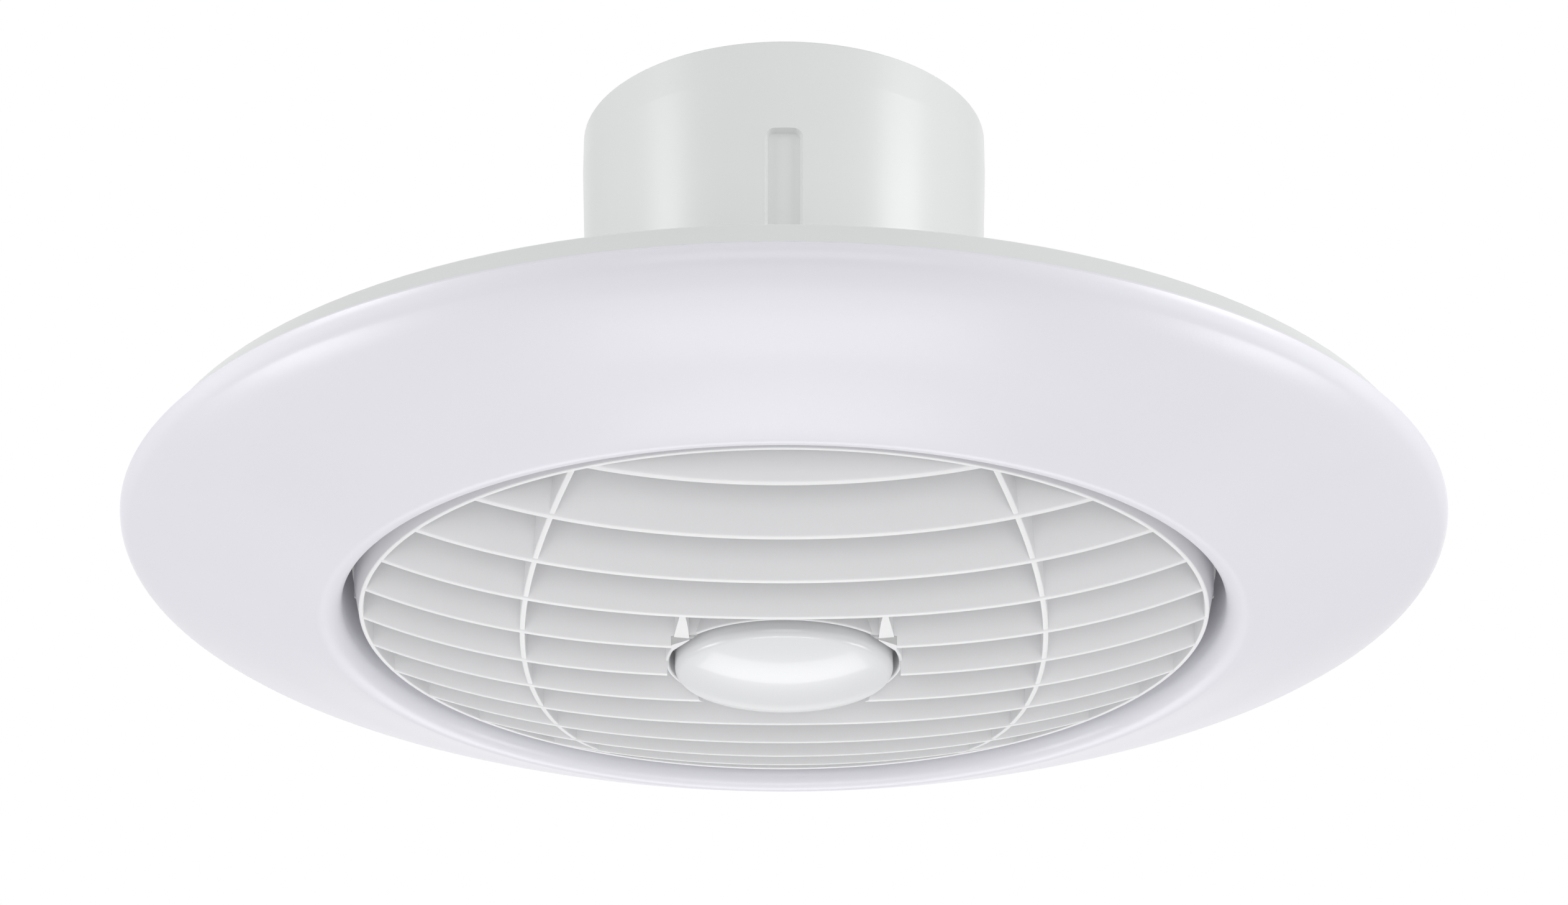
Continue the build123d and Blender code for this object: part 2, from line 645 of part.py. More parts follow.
def terminal_clamps():
    """Brass clamp screws of the terminal block."""
    one = Cylinder(2.1, 1.6) - Pos(0, 0, -0.8) * Box(5, 0.6, 0.9)
    return Compound([Pos(x, -128, -10.8) * one for x in (-11, 0, 11)])


def cable_clamp():
    """Saddle that grips the mains cable behind the grommet."""
    saddle = block((-13, 13), (-113.5, -106.5), (-12.6, UNDERSIDE))
    saddle -= Pos(0, -110, -6.8) * Rot(90, 0, 0) * Cylinder(4.3, 10)
    saddle -= block((-4.3, 4.3), (-115, -105), (-6.8, 0))
    for x, y in CLAMP_SCREWS:
        saddle -= rod(1.6, x, y, -14, UNDERSIDE + 1)
    return saddle


def arc_lead(radius, z, start, end, r):
    """A wire bent round the fan's axis."""
    ring = Pos(radius, 0, z) * Rot(90, 0, 0) * Circle(r)
    return Rot(0, 0, start) * revolve(ring, Axis.Z, end - start)


def mains_leads():
    """Two wires from the terminal block to the driver."""
    return Compound([arc_lead(radius, -8.5, -79.5, -16.6, 1.1) for radius in (131.0, 134.0)])


def led_lead():
    """Wire from the driver out to the light board."""
    points = [(150.6, 14, -9.5), (154.5, 14, -9.5), (157, 0, -9.5), (178, 0, -9.5), (184, 0, -5.2)]
    return lead(points, 1.1, 1.8)


def motor_lead():
    """Wire from the driver, up outside the fan's throat, to the motor plug."""
    foot = UNDERSIDE - 1.3
    points = [(104.0, 20, -8.0), (96, 8, -8.0), (89, 0, foot), (LEAD_R, 0, foot), (LEAD_R, 0, 56.0)]
    return lead(points, 1.0, 3.0)


def motor_plug():
    """Plug that joins the motor's lead to the mount's outer ring."""
    return block((69.05, 72.4), (-1.9, 1.9), (56.0, 61.5))


PARTS = {
    "spigot_housing": spigot_housing,
    "back_plate": back_plate,
    "ceiling_gasket": ceiling_gasket,
    "cable_grommet": cable_grommet,
    "inlet_bellmouth": inlet_bellmouth,
    "bayonet_ring": bayonet_ring,
    "louvre_grille": louvre_grille,
    "centre_cap": centre_cap,
    "ring_diffuser": ring_diffuser,
    "diffuser_catches": diffuser_catches,
    "led_board": led_board,
    "led_chips": led_chips,
    "impeller": impeller,
    "rotor_can": rotor_can,
    "rotor_magnets": rotor_magnets,
    "motor_shaft": motor_shaft,
    "shaft_circlip": shaft_circlip,
    "lower_bearing": lambda: bearing(13.0),
    "upper_bearing": lambda: bearing(43.0),
    "motor_mount": motor_mount,
    "stator_core": stator_core,
    "stator_windings": stator_windings,
    "motor_board": motor_board,
    "motor_cover": motor_cover,
    "shutter_frame": shutter_frame,
    "front_hinge_pin": lambda: shutter_pin(-1),
    "rear_hinge_pin": lambda: shutter_pin(1),
    "front_flap": lambda: shutter_flap(-1),
    "rear_flap": lambda: shutter_flap(1),
    "driver_case": driver_case,
    "driver_board": driver_board,
    "terminal_block": terminal_block,
    "terminal_clamps": terminal_clamps,
    "cable_clamp": cable_clamp,
    "mains_leads": mains_leads,
    "led_lead": led_lead,
    "motor_lead": motor_lead,
    "motor_plug": motor_plug,
    "flange_screws": lambda: screws(FLANGE_SCREWS, UNDERSIDE - 2.5, 4.0),
    "bellmouth_screws": lambda: screws(BELL_SCREWS, -BELL_DROP, 21.1, 1.4, 2.8, 1.4),
    "bayonet_screws": lambda: screws(BAYONET_SCREWS, UNDERSIDE - 2.5, 4.0),
    "board_screws": lambda: screws(BOARD_SCREWS, BOARD_LOW, 3.1),
    "catch_screws": lambda: screws(CATCH_SCREWS, UNDERSIDE - 2.0, 2.8),
    "mount_screws": lambda: screws(MOUNT_SCREWS, LEDGE_LOW[1] + 2.5, 5.5, 1.2, 1.9, 1.5, True),
    "shutter_screws": lambda: screws(SHUTTER_SCREWS, SEAT_Z, 6.0, 1.2, 1.9, 0.4, True),
    "driver_screws": lambda: screws(DRIVER_SCREWS, UNDERSIDE - 2.0, 3.6),
    "terminal_screws": lambda: screws(TERMINAL_SCREWS, UNDERSIDE - 1.8, 3.4),
    "clamp_screws": lambda: screws(CLAMP_SCREWS, -12.6, 11.8),
}

os.makedirs("parts", exist_ok=True)
for name, make in PARTS.items():
    export_step(make(), f"parts/{name}.step")
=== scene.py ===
import json
import math

import bmesh
import bpy
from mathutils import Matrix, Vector


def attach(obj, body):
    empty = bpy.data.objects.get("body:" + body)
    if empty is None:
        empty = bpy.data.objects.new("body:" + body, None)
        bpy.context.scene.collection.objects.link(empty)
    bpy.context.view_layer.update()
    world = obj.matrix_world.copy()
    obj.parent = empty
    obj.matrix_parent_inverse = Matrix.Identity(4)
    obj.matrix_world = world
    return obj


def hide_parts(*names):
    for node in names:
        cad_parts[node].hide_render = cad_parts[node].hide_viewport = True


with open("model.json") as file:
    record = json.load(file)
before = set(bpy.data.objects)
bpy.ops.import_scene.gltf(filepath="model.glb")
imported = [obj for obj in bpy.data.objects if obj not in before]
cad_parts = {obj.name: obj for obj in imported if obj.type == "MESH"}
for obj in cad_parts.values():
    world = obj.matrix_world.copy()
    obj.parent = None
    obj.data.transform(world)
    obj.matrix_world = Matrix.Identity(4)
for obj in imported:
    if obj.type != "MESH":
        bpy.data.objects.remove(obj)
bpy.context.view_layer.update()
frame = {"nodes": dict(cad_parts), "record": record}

NODES = frame["nodes"]

# ---- camera, floor and light, in metres ----
CAMERA_DISTANCE = 1.3791
CAMERA_BELOW = math.radians(23.196)  # how far below the ceiling the camera looks from
CAMERA_PITCH = math.radians(24.76)
CAMERA_LENS = 83.8
CAMERA_DROP = 0.0123  # height of the light ring's widest edge below the ceiling
FLOOR_Z = -3.4
FLOOR_HALF = 40.0
BACKDROP_TOWARDS = (0, 0.91, 0.41)  # where the backdrop is at its brightest
BACKDROP_COSINES = (0.82, 0.93)  # between these the backdrop goes from dim to bright
BACKDROP_LEVELS = (0.6, 1.0)
CENTRE = (0, 0, 0)
PANELS = [  # name, direction, distance, width, height, radiance, target
    ("left_panel", (-0.86, -0.39, 0.33), 1.2, 0.4, 0.5, 4.5, CENTRE),
    ("right_panel", (0.86, -0.39, 0.33), 1.2, 0.5, 0.5, 5.0, CENTRE),
    ("left_wall", (-0.95, -0.15, 0.0), 2.0, 1.8, 1.6, 0.7, CENTRE),
    ("right_wall", (0.95, -0.15, 0.0), 2.0, 1.8, 1.6, 0.75, CENTRE),
    ("lower_left_panel", (-0.63, 0.26, -0.73), 1.3, 0.3, 0.4, 7.0, (-0.17, -0.14, -0.02)),
    ("lower_right_panel", (0.63, 0.26, -0.73), 1.3, 0.3, 0.4, 6.5, (0.17, -0.14, -0.02)),
    ("strip", (0, 0.38, -0.93), 0.9, 0.5, 0.07, 9.0, (0, -0.21, -0.035)),
    ("rear_panel", (0, 0.8, -0.59), 1.5, 0.9, 0.4, 2.4, (0, -0.16, -0.045)),
    ("front_panel", (0, -0.94, -0.3), 2.2, 1.6, 1.0, 2.0, CENTRE),
]

# ---- the light ring, the grille and the cap, in millimetres from the fan's axis ----
AROUND = 256  # faces round a turned shape
RING_R = 247.5
RING_EDGE_Z = -12.3
RING_WALL = 2.2
THROAT_TOP = -12.0
RING_ARCS = [  # radius and turn in degrees, from the ring's edge to its throat
    (8.5, 55.0), (40.0, 12.0), (405.0, 3.5), (199.6, 3.0), (-199.6, -6.0), (199.6, 3.0), (7.1, 109.5),
]
TONGUE = [(238.2, RING_EDGE_Z), (238.2, -7.0), (240.0, -7.0), (240.0, -10.9), (246.2, -10.9)]
RING_LUG = (235.0, 238.6, -9.6, -7.2)
RING_LUG_TURN = 2.5
GRILLE_R = 158.4
GRILLE_RIM_Z = -42.2
GRILLE_DOME = 20.5
GRILLE_DOME_POWER = 2.7
LOUVRE_COUNT = 11
LOUVRE_PITCH = 27.0
LOUVRE_TILT = math.radians(21.0)
LOUVRE_DEPTH = 17.0
LOUVRE_THICK = 1.8
FLARE_R = 160.5
FLARE_TOP = -26.6
LUG_TOP = -17.9
GRILLE_LUG = (GRILLE_R - 1, 161.2, -23.7, -18.0)
GRILLE_LUG_TURN = 3
TAB_R = 161.4
TAB_TURN = 0.36
RIB_X = 96.7
RIB_BEND_R = 406.0
RIB_THICK = 2.0
COLLAR_R = 44.1
COLLAR_WALL = 1.4
COLLAR_RIM_Z = -57.5
COLLAR_TOP = -40.0
GUSSET_LOW = COLLAR_RIM_Z - 1.0
GUSSET_RISE = 12.0
GUSSET_REACH = 41.3  # where the louvre between the gussets is cut
COLLAR_FLOOR = (14.4, COLLAR_R - COLLAR_WALL / 2, -48.0, -46.0)
SOCKET = (12.2, 14.6, -48.0, -38.0)
GUSSET_PLAN = [
    (36.0, -53.5), (37.0, -53.5), (41.5, -20.0), (41.4, -15.0), (34.6, -26.0), (34.8, -36.0), (35.1, -43.0),
]
CAP_R = 40.6
CAP_EDGE_Z = -61.5
CAP_BOTTOM_Z = -69.4
CAP_ROUND = 3.5
CAP_WALL = 2.2
CAP_TOP = -50.0
PLUG_R_IN, PLUG_R_OUT, PLUG_TOP = 9.6, 12.0, -37.0


# ---- camera, floor and light ----
def node(tree, kind, **settings):
    """Adds a shader node and sets its inputs and properties by name."""
    made = tree.nodes.new(kind)
    for key, value in settings.items():
        name = key.replace("_", " ")
        if name in made.inputs:
            made.inputs[name].default_value = value
        else:
            setattr(made, key, value)
    return made


def add_camera():
    data = bpy.data.cameras.new("camera")
    data.lens = CAMERA_LENS
    data.sensor_width = 36
    data.clip_start = 0.02
    camera = bpy.data.objects.new("camera", data)
    bpy.context.scene.collection.objects.link(camera)
    back = CAMERA_DISTANCE * math.cos(CAMERA_BELOW)
    down = CAMERA_DISTANCE * math.sin(CAMERA_BELOW) + CAMERA_DROP
    camera.location = (0, -back, -down)
    camera.rotation_euler = (math.pi / 2 + CAMERA_PITCH, 0, 0)
    bpy.context.scene.camera = camera


def add_world():
    """White studio backdrop behind the fan that dims towards the sides, the front and the floor."""
    world = bpy.data.worlds.new("studio")
    bpy.context.scene.world = world
    world.use_nodes = True
    tree = world.node_tree
    background = tree.nodes["Background"]
    background.inputs["Color"].default_value = (1, 1, 1, 1)
    place = node(tree, "ShaderNodeTexCoord")
    facing = node(tree, "ShaderNodeVectorMath", operation="DOT_PRODUCT")
    facing.inputs[1].default_value = BACKDROP_TOWARDS
    tree.links.new(place.outputs["Generated"], facing.inputs[0])
    fade = node(tree, "ShaderNodeMapRange", From_Min=BACKDROP_COSINES[0], From_Max=BACKDROP_COSINES[1],
                To_Min=BACKDROP_LEVELS[0], To_Max=BACKDROP_LEVELS[1])
    tree.links.new(facing.outputs["Value"], fade.inputs["Value"])
    tree.links.new(fade.outputs["Result"], background.inputs["Strength"])


def add_floor():
    mesh = bpy.data.meshes.new("floor")
    half = FLOOR_HALF
    corners = [(-half, -half, FLOOR_Z), (half, -half, FLOOR_Z), (half, half, FLOOR_Z), (-half, half, FLOOR_Z)]
    mesh.from_pydata(corners, [], [(0, 1, 2, 3)])
    floor = bpy.data.objects.new("floor", mesh)
    bpy.context.scene.collection.objects.link(floor)
    paint = bpy.data.materials.new("floor_paint")
    paint.use_nodes = True
    shader = paint.node_tree.nodes["Principled BSDF"]
    shader.inputs["Base Color"].default_value = (0.88, 0.88, 0.88, 1)
    shader.inputs["Roughness"].default_value = 0.8
    mesh.materials.append(paint)


def add_panel(name, direction, distance, width, height, radiance, target):
    """Soft light panel that faces the target from a direction."""
    data = bpy.data.lights.new(name, "AREA")
    data.shape = "RECTANGLE"
    data.size = width
    data.size_y = height
    data.energy = radiance * math.pi * width * height
    panel = bpy.data.objects.new(name, data)
    bpy.context.scene.collection.objects.link(panel)
    out = Vector(direction).normalized()
    panel.location = Vector(target) + out * distance
    panel.rotation_euler = out.to_track_quat("Z", "Y").to_euler()
    panel.visible_camera = False


# ---- materials ----
def surface(name, colour, roughness, metallic=0.0, coat=0.0, drift=0.03, grain=0.02, fine=900.0,
            stretch=(1, 1, 1), pattern="noise", painted_glow=0.0):
    """Procedural finish: slow colour drift, fine relief, uneven gloss and an optional painted glow."""
    material = bpy.data.materials.new(name)
    material.use_nodes = True
    tree = material.node_tree
    shader = tree.nodes["Principled BSDF"]
    place = node(tree, "ShaderNodeTexCoord")
    scaled = node(tree, "ShaderNodeMapping")
    scaled.inputs["Scale"].default_value = stretch
    tree.links.new(place.outputs["Object"], scaled.inputs["Vector"])

    slow = node(tree, "ShaderNodeTexNoise", Scale=11.0, Detail=4.0)
    tree.links.new(place.outputs["Object"], slow.inputs["Vector"])
    ramp = node(tree, "ShaderNodeValToRGB")
    ramp.color_ramp.elements[0].position = 0.3
    ramp.color_ramp.elements[0].color = (*[c * (1 - drift) for c in colour], 1)
    ramp.color_ramp.elements[1].position = 0.7
    ramp.color_ramp.elements[1].color = (*[min(c * (1 + drift), 1) for c in colour], 1)

    if pattern == "bands":
        relief = node(tree, "ShaderNodeTexWave", Scale=fine, Distortion=0.4, Detail=1.0, bands_direction="Z")
    elif pattern == "cells":
        relief = node(tree, "ShaderNodeTexVoronoi", Scale=fine)
    else:
        relief = node(tree, "ShaderNodeTexNoise", Scale=fine, Detail=3.0)
    tree.links.new(scaled.outputs["Vector"], relief.inputs["Vector"])
    height = relief.outputs["Distance"] if pattern == "cells" else relief.outputs["Fac"]
    source = slow.outputs["Fac"] if pattern == "noise" else height
    tree.links.new(source, ramp.inputs["Fac"])
    tree.links.new(ramp.outputs["Color"], shader.inputs["Base Color"])

    bump = node(tree, "ShaderNodeBump", Strength=grain, Distance=0.0002)
    tree.links.new(height, bump.inputs["Height"])
    tree.links.new(bump.outputs["Normal"], shader.inputs["Normal"])
    gloss = node(tree, "ShaderNodeMapRange", To_Min=roughness * 0.85, To_Max=min(roughness * 1.15, 1.0))
    tree.links.new(relief.outputs["Color"] if pattern == "cells" else height, gloss.inputs["Value"])
    tree.links.new(gloss.outputs["Result"], shader.inputs["Roughness"])

    shader.inputs["Metallic"].default_value = metallic
    shader.inputs["Coat Weight"].default_value = coat
    shader.inputs["Coat Roughness"].default_value = 0.06
    # painted glow: emission in the base colour stands in for light passing through translucent plastic; the
    # part is no lit lamp
    if painted_glow:
        shader.inputs["Emission Color"].default_value = (*colour, 1)
        shader.inputs["Emission Strength"].default_value = painted_glow
    return material


FINISHES = {
    "housing_white": surface("housing_white", (0.70, 0.71, 0.71), 0.3, drift=0.012, grain=0.05),
    # painted glow on the opal ring stands in for light passing through its plastic and brightens the gap by
    # the grille
    "opal_diffuser": surface("opal_diffuser", (0.70, 0.695, 0.745), 0.3, drift=0.01, grain=0.12, painted_glow=0.06),
    "grille_white": surface("grille_white", (0.80, 0.80, 0.81), 0.42, drift=0.012, grain=0.05),
    "cap_white": surface("cap_white", (0.72, 0.725, 0.74), 0.3, coat=0.3, drift=0.01, grain=0.015),
    "foam": surface("foam", (0.62, 0.62, 0.6), 0.95, drift=0.15, grain=0.9, fine=700.0, pattern="cells"),
    "rubber_grey": surface("rubber_grey", (0.16, 0.16, 0.17), 0.7, drift=0.08, grain=0.2, fine=500.0),
    "fan_plastic": surface("fan_plastic", (0.70, 0.71, 0.71), 0.45, drift=0.02, grain=0.08),
    "cast_alloy": surface(
        "cast_alloy", (0.62, 0.63, 0.64), 0.5, metallic=0.9, drift=0.08, grain=0.5, fine=350.0
    ),
    "steel": surface(
        "steel", (0.56, 0.56, 0.57), 0.32, metallic=1.0, drift=0.06, grain=0.12, fine=500.0,
        stretch=(1, 1, 9),
    ),
    "lamination": surface(
        "lamination", (0.34, 0.34, 0.36), 0.45, metallic=0.9, drift=0.35, grain=0.6, fine=320.0,
        pattern="bands",
    ),
    "copper": surface(
        "copper", (0.72, 0.32, 0.13), 0.35, metallic=1.0, drift=0.3, grain=0.6, fine=280.0,
        pattern="bands",
    ),
    "magnet": surface("magnet", (0.09, 0.09, 0.1), 0.55, metallic=0.3, drift=0.15, grain=0.2, fine=600.0),
    "board_green": surface(
        "board_green", (0.05, 0.25, 0.10), 0.35, drift=0.3, grain=0.2, fine=240.0, pattern="cells"
    ),
    "board_white": surface("board_white", (0.82, 0.82, 0.80), 0.4, drift=0.05, grain=0.1, fine=300.0),
    "led_phosphor": surface("led_phosphor", (0.86, 0.74, 0.22), 0.6, drift=0.1, grain=0.2, fine=1500.0),
    "terminal_plastic": surface("terminal_plastic", (0.72, 0.71, 0.66), 0.5, drift=0.03, grain=0.1),
    "brass": surface("brass", (0.72, 0.53, 0.22), 0.35, metallic=1.0, drift=0.08, grain=0.1, fine=600.0),
    "wire_red": surface("wire_red", (0.48, 0.04, 0.03), 0.4, drift=0.06, grain=0.06),
    "wire_grey": surface("wire_grey", (0.34, 0.34, 0.35), 0.42, drift=0.05, grain=0.06),
}


def dress(obj, slot):
    """Gives a piece the finish of a slot."""
    obj.data.materials.clear()
    obj.data.materials.append(FINISHES[slot])


def smooth(obj, angle=30):
    obj.data.shade_smooth()
    obj.data.set_sharp_from_angle(angle=math.radians(angle))


# ---- mesh building ----
class Shape:
    """Vertices in millimetres and faces, gathered into one mesh."""

    def __init__(self):
        self.points = []
        self.faces = []

    def grid(self, rows, close_rows=False, close_columns=False, capped=False):
        """Quads between rows of points, which may join up either way."""
        start = len(self.points)
        count, width = len(rows), len(rows[0])
        for row in rows:
            self.points.extend(row)
        for i in range(count if close_rows else count - 1):
            for j in range(width if close_columns else width - 1):
                ring = [(i, j), (i, j + 1), (i + 1, j + 1), (i + 1, j)]
                self.faces.append([start + (a % count) * width + b % width for a, b in ring])
        if capped:
            self.faces.append([start + i * width for i in range(count)])
            self.faces.append([start + i * width + width - 1 for i in range(count)])

    def lathe(self, outline, steps=AROUND):
        """A closed outline of (radius, height) turned about the axis."""
        angles = [2 * math.pi * i / steps for i in range(steps)]
        rows = [[(r * math.cos(a), r * math.sin(a), z) for a in angles] for r, z in outline]
        self.grid(rows, close_rows=True, close_columns=True)

    def sector(self, outline, start, end, steps=12):
        """Part of a lathe between two angles in degrees, with closed ends."""
        angles = [math.radians(start + (end - start) * i / steps) for i in range(steps + 1)]
        rows = [[(r * math.cos(a), r * math.sin(a), z) for a in angles] for r, z in outline]
        self.grid(rows, close_rows=True, capped=True)

    def build(self, name, body, slot, *stands_for):
        mesh = bpy.data.meshes.new(name)
        mesh.from_pydata([tuple(c / 1000 for c in p) for p in self.points], [], self.faces)
        work = bmesh.new()
        work.from_mesh(mesh)
        bmesh.ops.recalc_face_normals(work, faces=work.faces)
        work.to_mesh(mesh)
        work.free()
        obj = bpy.data.objects.new(name, mesh)
        bpy.context.scene.collection.objects.link(obj)
        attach(obj, body)
        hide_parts(*stands_for)
        dress(obj, slot)
        smooth(obj)
        return obj


def rect(r_in, r_out, low, high):
    return [(r_in, low), (r_out, low), (r_out, high), (r_in, high)]


def arc(centre, radius, start, end, steps):
    """Points on a circle between two angles in degrees."""
    angles = [math.radians(start + (end - start) * i / steps) for i in range(steps + 1)]
    return [(centre[0] + radius * math.cos(a), centre[1] + radius * math.sin(a)) for a in angles]


# ---- light ring ----
def ring_side(inset):
    """The ring's underside, moved in by a distance, as points from its edge to its throat."""
    heading = 0.0
    points = [(RING_R - inset, RING_EDGE_Z)]
    for radius, turn in RING_ARCS:
        reach = radius - inset
        r, z = points[-1]
        first = math.radians(heading)
        centre = (r - reach * math.cos(first), z + reach * math.sin(first))
        steps = max(2, round(abs(turn) / 6))
        for i in range(1, steps + 1):
            angle = math.radians(heading + turn * i / steps)
            points.append((centre[0] + reach * math.cos(angle), centre[1] - reach * math.sin(angle)))
        heading += turn
    return points


def build_ring():
    shape = Shape()
    outer, inner = ring_side(0), ring_side(RING_WALL)
    throat = [(outer[-1][0], THROAT_TOP), (inner[-1][0], THROAT_TOP)]
    shape.lathe(outer + throat + inner[::-1] + TONGUE)
    for quarter in range(4):
        turn = 90 * quarter + 45
        shape.sector(rect(*RING_LUG), turn - RING_LUG_TURN, turn + RING_LUG_TURN)
    return shape.build("light_ring_cover", "light_ring", "opal_diffuser", "ring_diffuser")


# ---- grille ----
def dome_z(r):
    share = min(r / (GRILLE_R - 1.2), 1.0)
    return GRILLE_RIM_Z - GRILLE_DOME * (1 - share**GRILLE_DOME_POWER)


def edge_loop(half, low, high, round_r):
    """Cross-section of a blade as (offset, lift): a rounded lower edge and a square top."""
    levels = [low + (high - low) * share for share in (1.0, 0.75, 0.5, 0.25)] + [low + 3 * round_r]
    flat = half - round_r
    corner = arc((flat, low + round_r), round_r, 0, -90, 4)
    down = [(half, level) for level in levels] + corner
    return down + [(-offset, lift) for offset, lift in down[::-1]]


def louvre_y(middle, offset, lift, x):
    """Where a louvre's plane meets the lifted dome, at a distance from the centre line."""
    foot = GRILLE_RIM_Z - GRILLE_DOME
    y = middle
    for _ in range(12):
        rise = dome_z(math.hypot(x, y)) + lift - foot
        y = middle + offset / math.cos(LOUVRE_TILT) - math.tan(LOUVRE_TILT) * rise
    return y


def louvre_reach(middle, offset, lift, r):
    """How far from the centre line a louvre's plane reaches a radius."""
    foot = GRILLE_RIM_Z - GRILLE_DOME
    y = middle + offset / math.cos(LOUVRE_TILT) - math.tan(LOUVRE_TILT) * (dome_z(r) + lift - foot)
    return math.sqrt(max(r * r - y * y, 0.0))


def louvre_start(number, middle, offset, lift):
    """How far from the centre line a louvre begins: the three by the collar stop at it."""
    place = number - (LOUVRE_COUNT + 1) / 2
    z = dome_z(COLLAR_R) + lift
    if place == 1 and z < COLLAR_RIM_Z:
        return louvre_reach(middle, offset, lift, CAP_R + 0.6)
    if place == -1 and z < GUSSET_LOW:
        return GUSSET_REACH
    return louvre_reach(middle, offset, lift, COLLAR_R - COLLAR_WALL / 2)


def add_louvres(shape):
    middle_louvre = (LOUVRE_COUNT + 1) / 2
    for number in range(1, LOUVRE_COUNT + 1):
        middle = LOUVRE_PITCH * (number - middle_louvre)
        split = abs(number - middle_louvre) < 1.5
        loop = edge_loop(LOUVRE_THICK / 2, 0.0, LOUVRE_DEPTH, 0.35)
        if split:  # a step in the louvre's end, level with the collar's rim
            step = COLLAR_RIM_Z - dome_z(COLLAR_R) - (1.0 if number < middle_louvre else 0.0)
            front = [(-LOUVRE_THICK / 2, step - 0.05), (-LOUVRE_THICK / 2, step + 0.05)]
            back = [(LOUVRE_THICK / 2, step + 0.05), (LOUVRE_THICK / 2, step - 0.05)]
            high = [p for p in loop if p[1] > step]
            low = [p for p in loop if p[1] <= step]
            half = len(high) // 2
            loop = high[:half] + back + low + front + high[half:]
        for side in ((-1, 1) if split else (1,)):
            rows = []
            for offset, lift in loop:
                far = louvre_reach(middle, offset, lift, GRILLE_R - 1.0)
                near = louvre_start(number, middle, offset, lift) if split else -far
                steps = 48 if split else 96
                row = []
                for i in range(steps + 1):
                    x = side * (near + (far - near) * i / steps)
                    y = louvre_y(middle, offset, lift, x)
                    row.append((x, y, dome_z(math.hypot(x, y)) + lift))
                rows.append(row)
            shape.grid(rows, close_rows=True, capped=True)


def rib_x(y, offset):
    """How far from the centre line a bowed rib lies."""
    bend = RIB_BEND_R + offset
    return RIB_X - RIB_BEND_R + math.sqrt(bend * bend - y * y)


def add_ribs(shape):
    loop = edge_loop(RIB_THICK / 2, 0.5, LOUVRE_DEPTH - 2, 0.4)
    for side in (-1, 1):
        rows = []
        for offset, lift in loop:
            far = 100.0
            for _ in range(30):  # settles where the rib meets the rim
                far = math.sqrt((GRILLE_R - 1.0) ** 2 - rib_x(far, offset) ** 2)
            row = []
            for i in range(97):
                y = -far + 2 * far * i / 96
                x = rib_x(y, offset)
                row.append((side * x, y, dome_z(math.hypot(x, y)) + lift))
            rows.append(row)
        shape.grid(rows, close_rows=True, capped=True)


def add_gussets(shape):
    """Webs that widen from a louvre to the collar, with hollow inner sides."""
    for side in (-1, 1):
        rows = [[(side * x, y, z) for x, y in GUSSET_PLAN] for z in (GUSSET_LOW + GUSSET_RISE, GUSSET_LOW)]
        shape.grid(rows, close_columns=True)
        start = len(shape.points) - len(GUSSET_PLAN)
        shape.faces.append(list(range(start, start + len(GUSSET_PLAN))))


def build_grille():
    shape = Shape()
    add_louvres(shape)
    add_ribs(shape)
    add_gussets(shape)
    rim = arc((GRILLE_R - 0.55, GRILLE_RIM_Z + 0.55), 0.55, 0, -90, 5)
    rim += arc((GRILLE_R - 1.4, GRILLE_RIM_Z + 0.35), 0.35, -90, -180, 3)
    rim += [(GRILLE_R - 2, GRILLE_RIM_Z + 2.2), (GRILLE_R - 2, LUG_TOP), (GRILLE_R, LUG_TOP)]
    rim += [(GRILLE_R, FLARE_TOP), (FLARE_R, FLARE_TOP), (FLARE_R, -32.0)]
    shape.lathe(rim)
    half = COLLAR_WALL / 2
    nose = arc((COLLAR_R - half, COLLAR_RIM_Z + half), half, 0, -180, 8)
    shape.lathe(nose + [(COLLAR_R - COLLAR_WALL, COLLAR_TOP), (COLLAR_R, COLLAR_TOP)])
    shape.lathe(rect(*COLLAR_FLOOR))
    shape.lathe(rect(*SOCKET))
    tab = [(GRILLE_R - 0.5, -33.0), (TAB_R, -30.6), (TAB_R, FLARE_TOP), (GRILLE_R - 0.5, FLARE_TOP)]
    for quarter in range(4):
        turn = 90 * quarter
        shape.sector(rect(*GRILLE_LUG), turn - GRILLE_LUG_TURN, turn + GRILLE_LUG_TURN)
        shape.sector(tab, turn - TAB_TURN, turn + TAB_TURN, 2)
    return shape.build("grille_moulding", "grille", "grille_white", "louvre_grille")


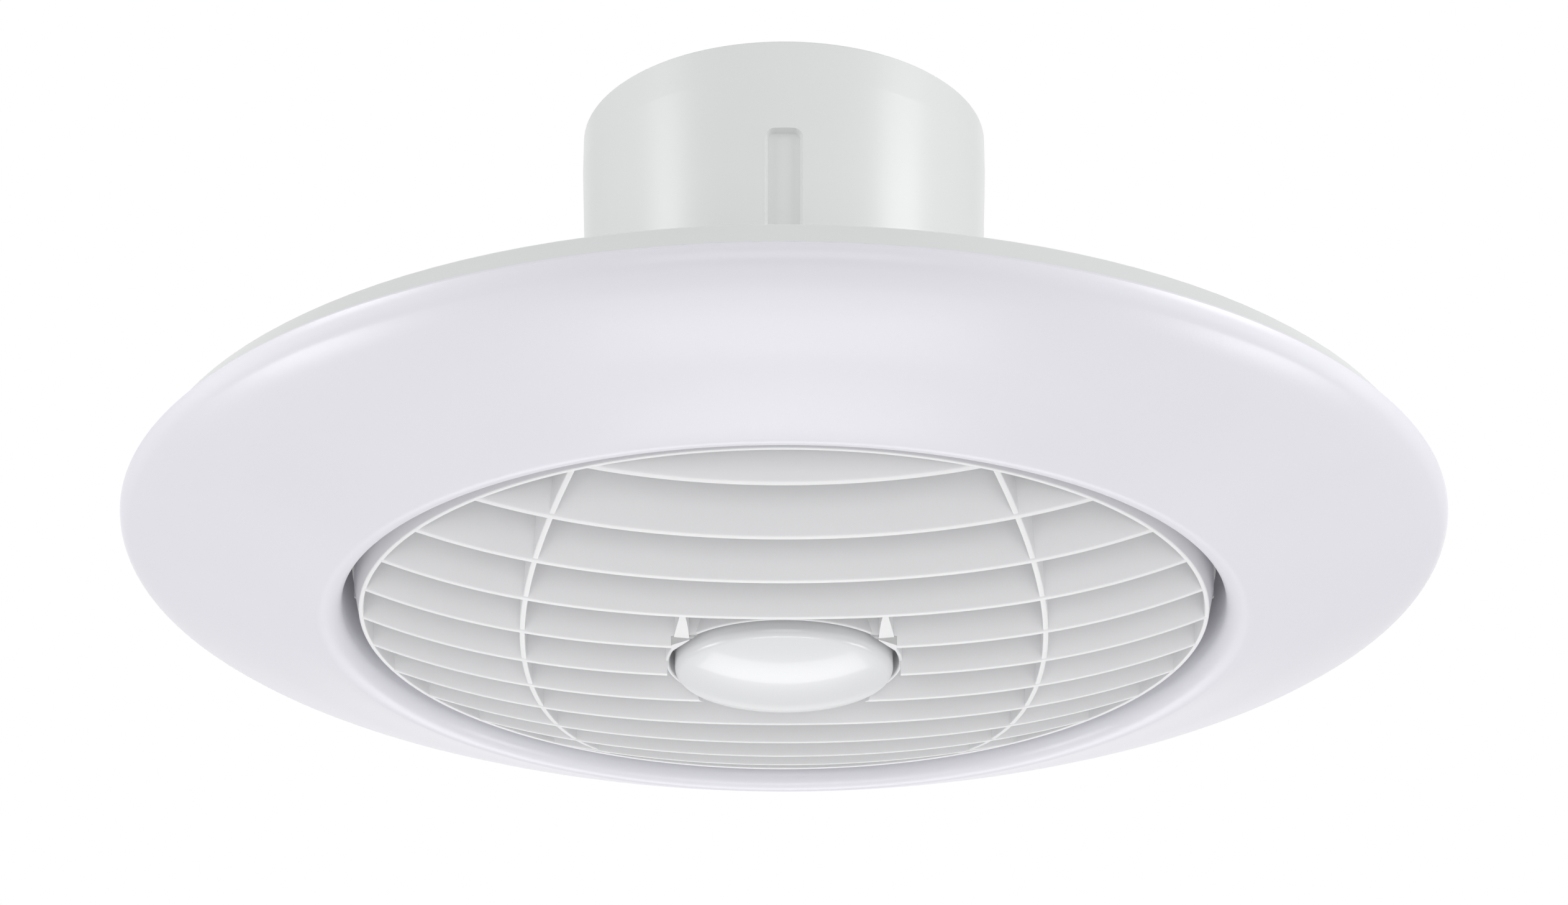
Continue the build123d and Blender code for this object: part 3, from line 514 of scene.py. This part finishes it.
# ---- cap ----
def build_cap():
    """Domed cap with a rounded shoulder, and the four prongs of its plug."""
    rise = CAP_EDGE_Z - CAP_BOTTOM_Z
    dome_r = (CAP_R**2 + rise**2) / (2 * rise)
    centre_z = CAP_BOTTOM_Z + dome_r
    round_z = centre_z - math.sqrt((dome_r - CAP_ROUND) ** 2 - (CAP_R - CAP_ROUND) ** 2)
    meet = math.degrees(math.asin((CAP_R - CAP_ROUND) / (dome_r - CAP_ROUND)))
    side = CAP_R - CAP_WALL

    def dome(start, end, radius, steps):
        return arc((0, centre_z), radius, start - 90, end - 90, steps)

    outline = [(0.01, CAP_BOTTOM_Z)] + dome(0, meet, dome_r, 24)[1:]
    outline += arc((CAP_R - CAP_ROUND, round_z), CAP_ROUND, meet - 90, 0, 10)[1:]
    outline += arc((CAP_R - 0.4, CAP_TOP - 0.4), 0.4, 0, 90, 3)
    outline += [(side, CAP_TOP), (side, CAP_EDGE_Z + CAP_WALL + 1.0)]
    inside = dome_r - CAP_WALL
    far = math.degrees(math.asin((side - 1.5) / inside))
    outline += dome(far, 0, inside, 16)[:-1] + [(0.01, CAP_BOTTOM_Z + CAP_WALL)]
    shape = Shape()
    shape.lathe(outline)
    shape.lathe(rect(PLUG_R_IN, PLUG_R_OUT, CAP_BOTTOM_Z + 1.5, CAP_TOP), 64)
    prong = [(PLUG_R_IN, CAP_TOP), (PLUG_R_OUT, CAP_TOP), (PLUG_R_OUT, PLUG_TOP - 0.8),
             (PLUG_R_OUT - 0.8, PLUG_TOP), (PLUG_R_IN, PLUG_TOP)]
    for quarter in range(4):
        rows = []
        for r, z in prong:
            gap = math.asin(1 / r)
            turns = [gap + (math.pi / 2 - 2 * gap) * i / 12 + quarter * math.pi / 2 for i in range(13)]
            rows.append([(r * math.cos(a), r * math.sin(a), z) for a in turns])
        shape.grid(rows, close_rows=True, capped=True)
    return shape.build("cap_cover", "cap", "cap_white", "centre_cap")


add_camera()
add_world()
add_floor()
for panel in PANELS:
    add_panel(*panel)

for part in frame["record"]["subparts"]:
    dress(NODES[part["node"]], part["material_slot"])
for part in NODES.values():
    smooth(part)
build_ring()
build_grille()
build_cap()

bpy.context.scene.view_settings.view_transform = "Standard"
